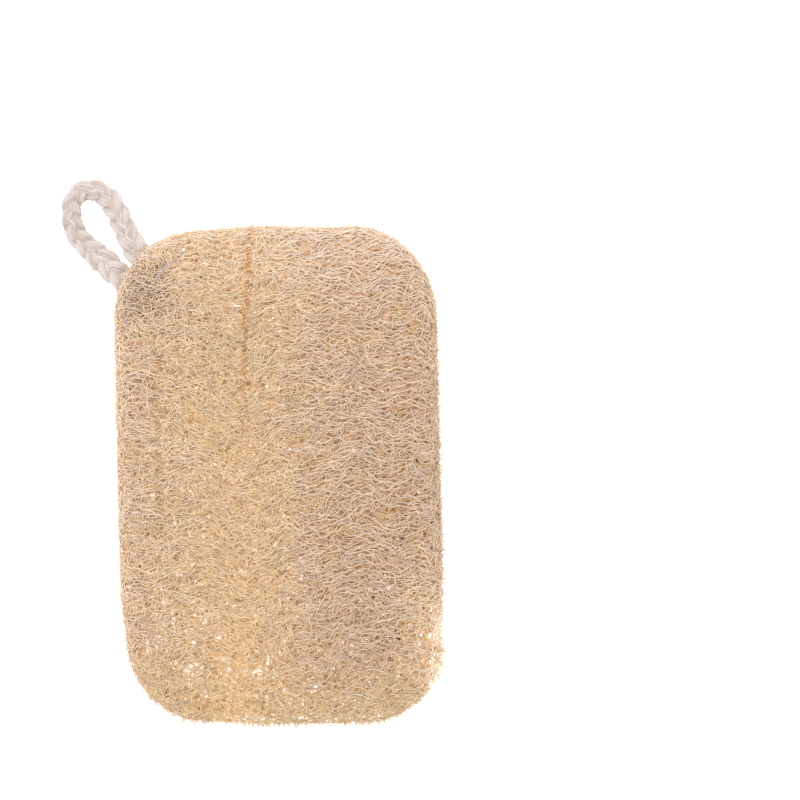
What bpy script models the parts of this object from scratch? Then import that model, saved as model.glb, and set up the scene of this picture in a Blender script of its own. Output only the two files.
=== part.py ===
"""Loofah scrubbing pad with a braided cotton hanging loop sewn into one corner.

The pad lies on its back: X runs across it, Y along it towards the corner with the loop, and Z is up.
The origin is under the middle of the pad, on the surface that it lies on. Lengths are in metres.
"""

import math
import random

import bmesh
import bpy
from mathutils import Vector
from mathutils.geometry import delaunay_2d_cdt

MM = 0.001

# Driving sizes of the pad
PAD_WIDTH = 100.5 * MM
PAD_LENGTH = 155.0 * MM
PAD_THICKNESS = 14.0 * MM
TOP_CORNER_RADII = (27.0 * MM, 28.0 * MM)
BOTTOM_CORNER_RADII = (30.0 * MM, 24.0 * MM)
SIDE_BOW = 0.014
END_BOW = 0.010
RIM_REACH = 6.0 * MM
RIM_SQUARENESS = 2.7

# Where the hand-cut outline draws in: by what share, at which place along it, and over what width
SIDES_DRAWN_IN = ((0.026, -50.0 * MM, 9.0 * MM),)
TOP_DRAWN_IN = ((0.012, -26.0 * MM, 14.0 * MM), (0.012, 17.0 * MM, 11.0 * MM))
BOTTOM_DRAWN_IN = ((0.016, -20.0 * MM, 9.0 * MM),)

# The raised net of fibres, drawn larger than life
CELL_LENGTH = 12.0 * MM
CELL_HEIGHT = 5.1 * MM
CELL_JITTER = 0.3
CELL_DEPTH = (1.6 * MM, 2.6 * MM)
CELL_FLOOR_SHARE = (0.55, 0.74)
CREST_UNEVENNESS = 0.45 * MM
SIDE_SHORTENING = 0.42
SIDE_START = 33.0 * MM
NET_SEED = 12
GAP_COUNT = 34
REST_SPOTS = ((0, 0), (-30, 48), (30, 48), (-30, -48), (30, -48))

# The fold between the two lobes of the flattened gourd, on the front
FOLD_X = -10.2 * MM
FOLD_LEAN = 0.068
FOLD_Y = (31 * MM, 84 * MM)
FOLD_WIDTH = 3.4 * MM
FOLD_DEPTH = 3.2 * MM

# The cotton cord and the clearance that a buried piece keeps
CORD_DIAMETER = 6.5 * MM
CORD_BURIED = 16.0 * MM
CORD_POINT_STEP = 4.2 * MM
CORD_SIDES_DETAIL = 3
CLEARANCE = 0.35 * MM

# The sewing thread that holds the cord's two ends in the pad
THREAD_DIAMETER = 0.8 * MM
SEAM_START = Vector((-28.4, 70.8)) * MM
SEAM_END = Vector((-47.2, 47.6)) * MM
SEAM_BOW = 1.1 * MM
SEAM_STITCHES = (0.02, 0.16, 0.47, 0.79, 0.97)
SEAM_DIP = 1.7 * MM
SEAM_DIP_WIDTH = 3.2 * MM

# The route of the cord in plan, in millimetres, from the entry nearer the top edge round to the other entry
CORD_ENTRY_A = (-42.3, 70.0)
CORD_ENTRY_B = (-48.3, 62.9)
CORD_LOOP = (
    (-44.6, 74.0), (-46.4, 77.8), (-48.1, 81.6), (-49.9, 85.2), (-52.6, 88.4), (-56.3, 90.1),
    (-60.4, 89.4), (-62.8, 86.2), (-63.2, 82.1), (-62.5, 78.3), (-60.5, 74.7), (-57.6, 71.7),
    (-54.5, 68.9), (-51.4, 66.1),
)

HALF_X = PAD_WIDTH / 2
HALF_Y = PAD_LENGTH / 2
HALF_Z = PAD_THICKNESS / 2
RIM_ARC = 10.6 * MM


def clear_scene():
    for thing in list(bpy.data.objects):
        bpy.data.objects.remove(thing)


def material(name, colour, roughness):
    made = bpy.data.materials.new(name)
    made.use_nodes = True
    surface = made.node_tree.nodes["Principled BSDF"]
    surface.inputs["Base Color"].default_value = (*colour, 1.0)
    surface.inputs["Roughness"].default_value = roughness
    surface.inputs["Metallic"].default_value = 0.0
    return made


def add_object(name, mesh, paint=None):
    thing = bpy.data.objects.new(name, mesh)
    bpy.context.scene.collection.objects.link(thing)
    if paint:
        mesh.materials.append(paint)
    return thing


def hide_cutter(thing):
    thing.hide_render = True
    thing.display_type = "WIRE"


def mesh_of_curve(curve_object):
    """A mesh copy of a curve's tube, because a Boolean takes only meshes."""
    return bpy.data.meshes.new_from_object(curve_object)


# The pad's surface: a point in plan, unrolled round the rim, and a depth below the crests


def unrolled(point):
    """The point of the flat face nearest to a point in plan, the way out from it, and how far past it that is.

    Inside the flat face the last number is below 0, and says how far in the point lies.
    """
    radius = (TOP_CORNER_RADII if point.y > 0 else BOTTOM_CORNER_RADII)[point.x > 0]
    core = Vector((
        max(radius - HALF_X, min(HALF_X - radius, point.x)),
        max(radius - HALF_Y, min(HALF_Y - radius, point.y)),
    ))
    away = point - core
    reach = away.length
    way = away / reach if reach > 1e-9 else Vector((1, 0))
    flat = radius - RIM_REACH
    return core + way * min(reach, flat), way, reach - flat


def drawn_in(along, spots):
    return sum(share * math.exp(-(((along - middle) / width) ** 2)) for share, middle, width in spots)


def bowed(place):
    """Bows the sides and the ends, which are cut by hand, and draws them in where the hand went astray."""
    side = SIDE_BOW * (place.y / HALF_Y) ** 4 + drawn_in(place.y, SIDES_DRAWN_IN)
    end_spots = TOP_DRAWN_IN if place.y > 0 else BOTTOM_DRAWN_IN
    end = END_BOW * (place.x / HALF_X) ** 4 + drawn_in(place.x, end_spots)
    return Vector((place.x * (1 - side), place.y * (1 - end)))


def seam_share(point):
    """1 on the line of the seam, falling off to its sides and past its ends."""
    along = SEAM_END - SEAM_START
    share = max(0, min(1, (point - SEAM_START).dot(along) / along.length_squared))
    off = (point - SEAM_START - share * along).length
    return math.exp(-((off / SEAM_DIP_WIDTH) ** 2))


def lobes(point):
    """The front's slow swell: a lobe on each side of the fold, and hollows towards the lower end."""
    x, y = point / MM
    right_lobe = 0.9 * math.exp(-(((x - 27) / 15) ** 2))
    left_lobe = 0.5 * math.exp(-(((x + 32) / 13) ** 2))
    hollow = -0.9 * math.exp(-(((x + 13) / 9) ** 2)) * (1 if y > 0 else math.exp(-((y / 60) ** 2)))
    ripple = 0.25 * math.sin(y / 9.0 + 1.3 * math.sin(x / 14.0))
    return (right_lobe + left_lobe + hollow + ripple) * MM


def pad_point(plan, front, depth=0.0):
    """The place in space of a point in plan, on the front or the back, that far below the crests."""
    face, way, past = unrolled(plan)
    turn = max(0.0, min(1.0, past / RIM_ARC)) * math.pi / 2
    power = 2 / RIM_SQUARENESS
    rise_share = max(0.0, math.cos(turn)) ** power
    place = bowed(face + way * (RIM_REACH - depth) * math.sin(turn) ** power)
    rise = (HALF_Z - depth) * rise_share - SEAM_DIP * seam_share(place) * rise_share
    if front:
        rise += lobes(place) * rise_share
    return Vector((place.x, place.y, HALF_Z + (rise if front else -rise)))


def surface_height(place, front):
    """The height of the crests over a place in space, which is itself given in plan."""
    face, way, past = unrolled(2 * place - bowed(place))
    over = max(0.0, min(1.0, past / RIM_REACH))
    turn = math.asin(over ** (RIM_SQUARENESS / 2))
    return pad_point(face + way * RIM_ARC * turn * 2 / math.pi, front).z


# The net: long cells laid across the pad, split from each other by crests of fibre


def sway(point):
    """Bends the rows of cells as the fibres run: arched over the right-hand lobe and drawn down at the fold."""
    x, y = point / MM
    arch = 5.0 * math.exp(-(((x - 27) / 13) ** 2)) - 3.5 * math.exp(-(((x + 10) / 9) ** 2))
    wave = 1.6 * math.sin(x / 9.0 + y / 17.0) + 1.2 * math.sin(x / 5.3 - y / 11.0)
    return Vector((x + 2.2 * math.sin(y / 13.0), y + arch + wave)) * MM


def shortened(x):
    """Shortens the cells towards the pad's long sides, so that the rim there is round too."""
    past = max(0.0, abs(x) - SIDE_START)
    return math.copysign(abs(x) - SIDE_SHORTENING * past, x)


def back_drift(point, way_in):
    """How far the back's crests lie from under the front's, fading to nothing at the rim."""
    x, y = point / MM
    fade = min(1.0, way_in / (9 * MM))
    return Vector((2.4 * math.sin(y / 6.0 + 1.0), 1.1 * math.cos(x / 8.0))) * MM * fade


def seeds():
    rng = random.Random(NET_SEED)
    squeeze = CELL_HEIGHT / CELL_LENGTH
    columns = math.ceil((HALF_X + RIM_ARC) / CELL_LENGTH) + 4
    rows = math.ceil((HALF_Y + RIM_ARC) / CELL_HEIGHT) + 4
    found = []
    for row in range(-rows, rows + 1):
        for column in range(-columns, columns + 1):
            x = (column + 0.5 * (row % 2) + rng.uniform(-CELL_JITTER, CELL_JITTER)) * CELL_LENGTH
            y = (row + rng.uniform(-CELL_JITTER, CELL_JITTER)) * CELL_HEIGHT
            found.append(Vector((x * squeeze, y)))
    return found, squeeze


def boundary_loop(cells, kept):
    """The corners round the outside of the kept cells, in order."""
    edges = {}
    for cell in kept:
        ring = cells[cell]
        for a, b in zip(ring, ring[1:] + ring[:1]):
            edges[(a, b)] = cell
    follow = {a: b for (a, b) in edges if (b, a) not in edges}
    loop = [next(iter(follow))]
    while follow[loop[-1]] != loop[0]:
        loop.append(follow[loop[-1]])
    return loop


def drop_pinched_cells(cells, kept):
    """Drops a cell wherever an inner edge would join two corners of the outside, and gives the outside."""
    while True:
        loop = boundary_loop(cells, kept)
        outside = set(loop)
        outer_edges = set(zip(loop, loop[1:] + loop[:1]))
        pinched = []
        for cell in kept:
            ring = cells[cell]
            for edge in zip(ring, ring[1:] + ring[:1]):
                if outside.issuperset(edge) and edge not in outer_edges:
                    pinched.append(cell)
        if not pinched:
            return loop
        kept.remove(max(pinched, key=lambda cell: sum(n in outside for n in cells[cell])))


def on_equator(angle):
    """The point in plan on the outermost line of the rim, seen from the middle at that angle."""
    way = Vector((math.cos(angle), math.sin(angle)))
    low, high = 0.0, PAD_LENGTH
    for _ in range(40):
        middle = (low + high) / 2
        if unrolled(way * middle)[2] < RIM_ARC:
            low = middle
        else:
            high = middle
    return way * low


def net():
    """Corners in plan, and the cells as rings of corner numbers."""
    start, squeeze = seeds()
    points, _, triangles, *_ = delaunay_2d_cdt(start, [], [], 0, 1e-9)
    corners = []
    around = {}
    for number, triangle in enumerate(triangles):
        middle = sum((points[i] for i in triangle), Vector((0, 0))) / 3
        corners.append(sway(Vector((shortened(middle.x / squeeze), middle.y))))
        for i in triangle:
            around.setdefault(i, []).append(number)
    cells, kept = {}, []
    for i, ring in around.items():
        seed = sway(Vector((shortened(points[i].x / squeeze), points[i].y)))
        _, way, past = unrolled(seed)
        length = CELL_LENGTH * (1 - SIDE_SHORTENING)
        margin = 0.35 * length * abs(way.x) + 0.42 * CELL_HEIGHT * abs(way.y)
        ring.sort(key=lambda n: math.atan2(*(corners[n] - seed).yx))
        cells[i] = ring
        if past < RIM_ARC - margin:
            kept.append(i)
    loop = drop_pinched_cells(cells, kept)
    settle_rim(corners, loop)
    relax(corners, [cells[i] for i in kept], set(loop))
    return corners, [cells[i] for i in kept]


def settle_rim(corners, loop):
    """Draws the outer corners out to the rim's outermost line and evens their spacing."""
    angles = [math.atan2(corners[n].y, corners[n].x) for n in loop]
    for i in range(1, len(angles)):
        while angles[i] - angles[i - 1] > math.pi:
            angles[i] -= 2 * math.pi
        while angles[i] - angles[i - 1] < -math.pi:
            angles[i] += 2 * math.pi
    whole = 2 * math.pi
    for _ in range(12):
        before = [angles[-1] - whole] + angles[:-1]
        after = angles[1:] + [angles[0] + whole]
        angles = [0.5 * a + 0.25 * (b + c) for a, b, c in zip(angles, before, after)]
    for n, angle in zip(loop, angles):
        corners[n] = on_equator(angle)


def relax(corners, cells, fixed):
    """Evens out the cells a little, and keeps inner corners off the rim's outermost line."""
    beside = {}
    for ring in cells:
        for a, b in zip(ring, ring[1:] + ring[:1]):
            beside.setdefault(a, set()).add(b)
            beside.setdefault(b, set()).add(a)
    for _ in range(3):
        moved = {}
        for n, others in beside.items():
            if n not in fixed:
                mean = sum((corners[o] for o in sorted(others)), Vector((0, 0))) / len(others)
                moved[n] = corners[n].lerp(mean, 0.3)
        for n, place in moved.items():
            face, way, past = unrolled(place)
            corners[n] = face + way * min(past, 0.83 * RIM_ARC) if past > 0 else place


def middle_of(corners, ring):
    return sum((corners[n] for n in ring), Vector((0, 0))) / len(ring)


def gaps_in(corners, cells, rng):
    """The cells that open right through: more of them towards the lower end and beside the fold, as seen."""
    ranked = []
    for number, ring in enumerate(cells):
        middle = middle_of(corners, ring)
        x, y = middle / MM
        inside = max(unrolled(corners[n])[2] for n in ring) < -2 * MM
        clear_of_seam = (middle - (SEAM_START + SEAM_END) / 2).length > 30 * MM
        clear_of_rest = all((middle - Vector(spot) * MM).length > 9 * MM for spot in REST_SPOTS)
        if inside and clear_of_seam and clear_of_rest:
            wanted = math.exp(-((y + 58) / 38) ** 2) + 0.6 * math.exp(-(((x + 13) / 8) ** 2)) * (y < 25)
            ranked.append((rng.random() ** (1 / max(wanted, 0.02)), number))
    return {number for _, number in sorted(ranked)[-GAP_COUNT:]}


def build_pad(paint):
    corners, cells = net()
    rng = random.Random(NET_SEED + 1)
    open_cells = gaps_in(corners, cells, rng)
    rest_cells = {
        min(range(len(cells)), key=lambda i: (middle_of(corners, cells[i]) - Vector(spot) * MM).length)
        for spot in REST_SPOTS
    }
    rest_corners = {n for cell in rest_cells for n in cells[cell]}
    shape = bmesh.new()
    crest = {}

    def crest_vertex(n, front):
        _, _, past = unrolled(corners[n])
        on_rim = past > RIM_ARC - 1e-6
        key = (n, front or on_rim)
        if key not in crest:
            place = corners[n]
            if not front and not on_rim:
                place = place + back_drift(place, RIM_ARC - past)
            low = 0.0 if on_rim or (n in rest_corners and not front) else rng.uniform(0, CREST_UNEVENNESS)
            crest[key] = shape.verts.new(pad_point(place, front, low))
        return crest[key]

    def crest_plan(n, front):
        _, _, past = unrolled(corners[n])
        return corners[n] if front else corners[n] + back_drift(corners[n], RIM_ARC - past)

    for number, ring in enumerate(cells):
        floors = []
        for front in (True, False):
            depth = rng.uniform(*CELL_DEPTH)
            share = rng.uniform(*CELL_FLOOR_SHARE)
            rim = [crest_vertex(n, front) for n in ring]
            plan = [crest_plan(n, front) for n in ring]
            if not front and number in rest_cells:
                shape.faces.new(rim[::-1])
                continue
            middle = sum(plan, Vector((0, 0))) / len(plan)
            floor = [shape.verts.new(pad_point(middle.lerp(p, share), front, depth)) for p in plan]
            floors.append(floor)
            for i in range(len(ring)):
                j = (i + 1) % len(ring)
                wall = (rim[i], rim[j], floor[j], floor[i])
                shape.faces.new(wall if front else wall[::-1])
        if number in open_cells:
            top, bottom = floors
            for i in range(len(ring)):
                j = (i + 1) % len(ring)
                shape.faces.new((top[i], top[j], bottom[j], bottom[i]))
        else:
            for floor, turned in zip(floors, (False, True)):
                shape.faces.new(floor[::-1] if turned else floor)
    bmesh.ops.recalc_face_normals(shape, faces=shape.faces)
    bmesh.ops.triangulate(shape, faces=shape.faces)
    mesh = bpy.data.meshes.new("loofah_pad")
    shape.to_mesh(mesh)
    shape.free()
    return add_object("loofah_pad", mesh, paint)


def cut(thing, cutter, name):
    boolean = thing.modifiers.new(name, "BOOLEAN")
    boolean.operation = "DIFFERENCE"
    boolean.object = cutter
    hide_cutter(cutter)


def build_fold_cutter():
    """A long wedge that follows the fold, its edge down in the pad."""
    shape = bmesh.new()
    steps = 14
    rows = []
    for i in range(steps + 1):
        share = i / steps
        y = FOLD_Y[0] + share * (FOLD_Y[1] - FOLD_Y[0])
        x = FOLD_X + FOLD_LEAN * (y - FOLD_Y[0]) + 0.4 * MM * math.sin(5.3 * share * math.pi)
        swell = math.sin(math.pi * min(1.0, 0.06 + share * 1.6) / 2)
        top = surface_height(Vector((x, min(y, HALF_Y - 2 * MM))), True)
        half = FOLD_WIDTH / 2 * (0.55 + 0.45 * swell)
        rows.append([
            shape.verts.new((x - half * 1.8, y, top + 3 * MM)),
            shape.verts.new((x + half * 1.8, y, top + 3 * MM)),
            shape.verts.new((x, y, top - FOLD_DEPTH * swell)),
        ])
    for a, b in zip(rows, rows[1:]):
        for i in range(3):
            j = (i + 1) % 3
            shape.faces.new((a[i], a[j], b[j], b[i]))
    shape.faces.new(rows[0][::-1])
    shape.faces.new(rows[-1])
    bmesh.ops.recalc_face_normals(shape, faces=shape.faces)
    mesh = bpy.data.meshes.new("fold_cutter")
    shape.to_mesh(mesh)
    shape.free()
    return add_object("fold_cutter", mesh)


# The cord


def cord_height(way_out):
    """The height of the cord's middle: level where it leaves the pad, then sinking to lie on the surface."""
    low = CORD_DIAMETER / 2 + 0.05 * MM
    share = max(0.0, min(1.0, (way_out - 3 * MM) / (17 * MM)))
    return HALF_Z + (low - HALF_Z) * share * share * (3 - 2 * share)


def cord_route(past_end=0.0):
    """The cord's middle line, from its end buried in the pad, out round the loop, and in to its other end."""
    seam_way = (SEAM_END - SEAM_START).normalized()
    into_pad = Vector((-seam_way.y, seam_way.x))
    entries = Vector(CORD_ENTRY_A) * MM, Vector(CORD_ENTRY_B) * MM
    ends = [entry + into_pad * (CORD_BURIED + past_end) for entry in entries]
    halfway = [entry + into_pad * CORD_BURIED / 2 for entry in entries]
    plan = [ends[0], halfway[0], entries[0]]
    plan += [Vector(p) * MM for p in CORD_LOOP]
    plan += [entries[1], halfway[1], ends[1]]
    rim_middle = (entries[0] + entries[1]) / 2
    knots = []
    for i, p in enumerate(plan):
        outside = 2 < i < len(plan) - 3
        way_out = (p - rim_middle).dot(-into_pad) if outside else 0.0
        knots.append(Vector((p.x, p.y, cord_height(way_out))))
    return evenly(smooth_line(knots), CORD_POINT_STEP)


def smooth_line(knots, steps=12):
    """Points along the smooth curve through the knots."""
    line = []
    ends = [2 * knots[0] - knots[1]] + knots + [2 * knots[-1] - knots[-2]]
    for a, b, c, d in zip(ends, ends[1:], ends[2:], ends[3:]):
        for step in range(steps):
            t = step / steps
            line.append(0.5 * (
                2 * b + (c - a) * t + (2 * a - 5 * b + 4 * c - d) * t * t + (3 * b - a - 3 * c + d) * t ** 3
            ))
    return line + [knots[-1]]


def evenly(line, step):
    """The line again, with its points that far apart."""
    lengths = [(b - a).length for a, b in zip(line, line[1:])]
    count = round(sum(lengths) / step)
    found, passed, i = [line[0]], 0.0, 0
    for k in range(1, count):
        wanted = sum(lengths) * k / count
        while passed + lengths[i] < wanted:
            passed += lengths[i]
            i += 1
        found.append(line[i].lerp(line[i + 1], (wanted - passed) / lengths[i]))
    return found + [line[-1]]


def tube(name, line, radius, detail, paint=None):
    curve = bpy.data.curves.new(name, "CURVE")
    curve.dimensions = "3D"
    spline = curve.splines.new("POLY")
    spline.points.add(len(line) - 1)
    for point, place in zip(spline.points, line):
        point.co = (*place, 1)
    curve.bevel_depth = radius
    curve.bevel_resolution = detail
    curve.use_fill_caps = True
    thing = bpy.data.objects.new(name, curve)
    bpy.context.scene.collection.objects.link(thing)
    if paint:
        curve.materials.append(paint)
    return thing


def build_cord(paint):
    return tube("hanging_cord", cord_route(), CORD_DIAMETER / 2, CORD_SIDES_DETAIL, paint)


def build_cord_cutter():
    """The pockets that the cord's ends lie in, cut along the cord's own route."""
    guide = tube("pocket_guide", cord_route(CLEARANCE), CORD_DIAMETER / 2 + 1.25 * CLEARANCE, CORD_SIDES_DETAIL)
    cutter = add_object("pocket_cutter", mesh_of_curve(guide))
    bpy.data.objects.remove(guide)
    weld_and_face_out(cutter.data)
    return cutter


def weld_and_face_out(mesh):
    shape = bmesh.new()
    shape.from_mesh(mesh)
    bmesh.ops.remove_doubles(shape, verts=shape.verts, dist=1e-6)
    bmesh.ops.recalc_face_normals(shape, faces=shape.faces)
    shape.to_mesh(mesh)
    shape.free()


# The seam: a line of thread on each face, locked together in each needle hole


def seam_place(share):
    """A place in plan along the seam, which bows out towards the corner."""
    along = SEAM_END - SEAM_START
    out = Vector((along.y, -along.x)).normalized()
    return SEAM_START + share * along + out * SEAM_BOW * (1 - (2 * share - 1) ** 2)


def seam_lines(rise):
    """The two lines of thread and the stretches that lock them, each as points in space."""
    places = [seam_place(share) for share in SEAM_STITCHES]
    lines = []
    for front in (True, False):
        side = 1 if front else -1
        line = []
        for a, b in zip(places, places[1:]):
            for share in (0.0, 0.25, 0.5, 0.75):
                p = a.lerp(b, share)
                line.append(Vector((p.x, p.y, surface_height(p, front) + side * rise)))
        last = places[-1]
        line.append(Vector((last.x, last.y, surface_height(last, front) + side * rise)))
        lines.append(line)
    posts = [
        [Vector((p.x, p.y, surface_height(p, False) - rise)), Vector((p.x, p.y, surface_height(p, True) + rise))]
        for p in places
    ]
    return lines + posts


def seam_mesh(name, radius, rise):
    """All the thread's stretches joined in one closed mesh."""
    parts = []
    for number, line in enumerate(seam_lines(rise)):
        guide = tube(f"{name}_guide", line, radius * (1 + 0.02 * (number > 1)), 1)
        part = add_object(f"{name}_{number}", mesh_of_curve(guide))
        bpy.data.objects.remove(guide)
        weld_and_face_out(part.data)
        parts.append(part)
    first, others = parts[0], parts[1:]
    group = bpy.data.collections.new(f"{name}_parts")
    for part in others:
        group.objects.link(part)
    union = first.modifiers.new("join", "BOOLEAN")
    union.operation = "UNION"
    union.operand_type = "COLLECTION"
    union.collection = group
    union.solver = "EXACT"
    graph = bpy.context.evaluated_depsgraph_get()
    mesh = bpy.data.meshes.new_from_object(first.evaluated_get(graph))
    for part in parts:
        bpy.data.objects.remove(part)
    bpy.data.collections.remove(group)
    mesh.name = name
    return mesh


def build_thread(paint):
    rise = THREAD_DIAMETER / 2 + CLEARANCE
    return add_object("seam_thread", seam_mesh("seam_thread", THREAD_DIAMETER / 2, rise), paint)


def build_thread_cutter():
    rise = THREAD_DIAMETER / 2 + CLEARANCE
    return add_object("thread_cutter", seam_mesh("thread_cutter", THREAD_DIAMETER / 2 + CLEARANCE, rise))


def main():
    clear_scene()
    loofah = material("loofah_fibre", (0.72, 0.53, 0.33), 0.85)
    cotton = material("cotton_cord", (0.80, 0.71, 0.64), 0.9)
    thread = material("cotton_thread", (0.82, 0.78, 0.76), 0.8)
    pad = build_pad(loofah)
    build_cord(cotton)
    build_thread(thread)
    cut(pad, build_fold_cutter(), "fold")
    cut(pad, build_cord_cutter(), "cord pockets")
    cut(pad, build_thread_cutter(), "needle holes")


main()
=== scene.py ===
"""A natural loofah scrubbing pad with a braided cotton hanging loop.

It lies on a pale table and is seen from above.
"""

import math

import bpy
import numpy as np
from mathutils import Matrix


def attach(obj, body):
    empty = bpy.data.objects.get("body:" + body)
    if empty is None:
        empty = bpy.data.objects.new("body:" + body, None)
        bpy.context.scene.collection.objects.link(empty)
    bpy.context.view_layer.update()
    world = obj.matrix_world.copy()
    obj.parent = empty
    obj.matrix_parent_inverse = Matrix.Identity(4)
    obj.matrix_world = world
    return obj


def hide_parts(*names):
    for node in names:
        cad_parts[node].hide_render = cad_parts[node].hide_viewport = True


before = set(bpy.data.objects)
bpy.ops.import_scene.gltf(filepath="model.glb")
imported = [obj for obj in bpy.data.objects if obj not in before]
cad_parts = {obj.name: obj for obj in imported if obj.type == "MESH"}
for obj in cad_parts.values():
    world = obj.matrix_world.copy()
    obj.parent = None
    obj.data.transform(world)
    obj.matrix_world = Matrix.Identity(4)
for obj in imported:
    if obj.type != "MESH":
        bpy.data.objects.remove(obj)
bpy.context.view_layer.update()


# The studio. A camera on a long lens hangs over a backlit white table, so that light shines through
# the pad's gaps as well as on its face. A large soft light stands at the upper left, and a weaker one
# at the lower right.

MM = 0.001
PHOTO_SCALE = 0.31 * MM
PHOTO_SIDE = 800
PAD_MIDDLE_IN_PHOTO = (279.0, 475.0)
PAD_LEAN = math.radians(1.3)
CAMERA_HEIGHT = 0.95
SCALE_HEIGHT = 9.0 * MM
FARTHEST_SEEN = 20.0
TABLE_SIDE = 6.0
TABLE_GAP = 0.4 * MM
TABLE_GLOW = 0.80
ROOM_LIGHT = 1.05

right_of_pad = (PHOTO_SIDE / 2 - PAD_MIDDLE_IN_PHOTO[0]) * PHOTO_SCALE
above_pad = (PAD_MIDDLE_IN_PHOTO[1] - PHOTO_SIDE / 2) * PHOTO_SCALE
camera_data = bpy.data.cameras.new("overhead_camera")
camera_data.lens = camera_data.sensor_width * CAMERA_HEIGHT / (PHOTO_SIDE * PHOTO_SCALE)
camera_data.clip_end = FARTHEST_SEEN
camera = bpy.data.objects.new("overhead_camera", camera_data)
camera.location = (
    right_of_pad * math.cos(PAD_LEAN) + above_pad * math.sin(PAD_LEAN),
    above_pad * math.cos(PAD_LEAN) - right_of_pad * math.sin(PAD_LEAN),
    CAMERA_HEIGHT + SCALE_HEIGHT,
)
camera.rotation_euler = (0, 0, -PAD_LEAN)
bpy.context.scene.collection.objects.link(camera)
bpy.context.scene.camera = camera
bpy.context.scene.view_settings.view_transform = "Standard"


class Signal:
    """A socket of a material's nodes. Arithmetic on it adds Math nodes, and node() adds any other."""

    # A Mix node's inputs for the share and the two colours, and its output for the mixed colour.
    SHARE, FIRST, SECOND, MIXED = 0, 6, 7, 2

    def __init__(self, tree, socket=None):
        self.tree = tree
        self.socket = socket

    def node(self, kind, settings, sockets, out=0):
        """A new node's output. The node is set up first, and its sockets get their values or links."""
        made = self.tree.nodes.new(kind)
        for name, value in settings.items():
            setattr(made, name, value)
        for name, value in sockets.items():
            if isinstance(value, Signal):
                self.tree.links.new(value.socket, made.inputs[name])
            else:
                made.inputs[name].default_value = value
        return Signal(self.tree, made.outputs[out])

    def math(self, operation, first, second=0.0):
        return self.node("ShaderNodeMath", {"operation": operation}, {0: first, 1: second})

    def __add__(self, other):
        return self.math("ADD", self, other)

    __radd__ = __add__

    def __sub__(self, other):
        return self.math("SUBTRACT", self, other)

    def __rsub__(self, other):
        return self.math("SUBTRACT", other, self)

    def __mul__(self, other):
        return self.math("MULTIPLY", self, other)

    __rmul__ = __mul__

    def __abs__(self):
        return self.math("ABSOLUTE", self)

    def larger(self, other):
        return self.math("MAXIMUM", self, other)

    def ramp(self, low, high):
        """0 up to low and 1 from high on."""
        settings = {"interpolation_type": "SMOOTHSTEP"}
        return self.node("ShaderNodeMapRange", settings, {0: self, 1: low, 2: high})

    def blend(self, low, high):
        """The colour low where this is 0 and high where it is 1."""
        sockets = {self.SHARE: self, self.FIRST: low, self.SECOND: high}
        return self.node("ShaderNodeMix", {"data_type": "RGBA"}, sockets, out=self.MIXED)

    def tinted(self, share, tint):
        """This colour multiplied by the tint, as far as share says."""
        settings = {"data_type": "RGBA", "blend_type": "MULTIPLY"}
        sockets = {self.SHARE: share, self.FIRST: self, self.SECOND: (*tint, 1)}
        return self.node("ShaderNodeMix", settings, sockets, out=self.MIXED)

    def place(self):
        """Where a point of the surface lies, in metres in the piece's own space."""
        return self.node("ShaderNodeTexCoord", {}, {}, out="Object")

    def noise(self, scale, detail=2.0, roughness=0.5):
        """A noise over this place, 0 to 1, with about that many spots to a metre."""
        sockets = {"Vector": self, "Scale": scale, "Detail": detail, "Roughness": roughness}
        return self.node("ShaderNodeTexNoise", {}, sockets)

    def distance_to(self, point):
        """How far this place is from the point."""
        settings = {"operation": "DISTANCE"}
        return self.node("ShaderNodeVectorMath", settings, {0: self, 1: point}, out="Value")

    def tone(self):
        """The random number, 0 to 1, that each fibre or yarn carries."""
        return self.node("ShaderNodeAttribute", {"attribute_name": "tone"}, {}, out="Fac")


def new_finish(name, roughness, **constants):
    """A new material, its shader, and the signal that its other nodes grow from."""
    material = bpy.data.materials.new(name)
    material.use_nodes = True
    shader = material.node_tree.nodes["Principled BSDF"]
    shader.inputs["Roughness"].default_value = roughness
    for socket, value in constants.items():
        shader.inputs[socket.replace("_", " ")].default_value = value
    return material, shader, Signal(material.node_tree)


def wear(shader, socket, signal):
    """Gives the shader's socket what the signal says."""
    signal.tree.links.new(signal.socket, shader.inputs[socket])


table_white, table_shader, grain = new_finish(
    "table_white", roughness=0.6, Emission_Strength=TABLE_GLOW, Emission_Color=(1.0, 0.985, 0.97, 1))
speckle = grain.node("ShaderNodeTexNoise", {}, {"Scale": 90.0, "Detail": 3.0})
wear(table_shader, "Base Color", speckle.blend((0.80, 0.79, 0.78, 1), (0.84, 0.83, 0.82, 1)))
bpy.ops.mesh.primitive_plane_add(size=TABLE_SIDE)
table = bpy.context.object
table.name = "table"
table.location.z = -TABLE_GAP
table.data.materials.append(table_white)

world = bpy.data.worlds.new("studio")
world.use_nodes = True
world.node_tree.nodes["Background"].inputs["Color"].default_value = (0.95, 0.97, 1.0, 1)
world.node_tree.nodes["Background"].inputs["Strength"].default_value = ROOM_LIGHT
bpy.context.scene.world = world


def soft_light(name, place, size, power, colour):
    """A square light that faces the middle of the pad."""
    lamp = bpy.data.lights.new(name, "AREA")
    lamp.size = size
    lamp.energy = power
    lamp.color = colour
    light = bpy.data.objects.new(name, lamp)
    light.location = place
    towards = -light.location.normalized()
    light.rotation_euler = towards.to_track_quat("-Z", "Y").to_euler()
    bpy.context.scene.collection.objects.link(light)


soft_light("key_light", (-0.55, 0.65, 1.0), size=0.9, power=5.0, colour=(1.0, 0.98, 0.95))
soft_light("fill_light", (0.8, -0.5, 1.0), size=0.9, power=2.0, colour=(0.97, 0.98, 1.0))


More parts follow.
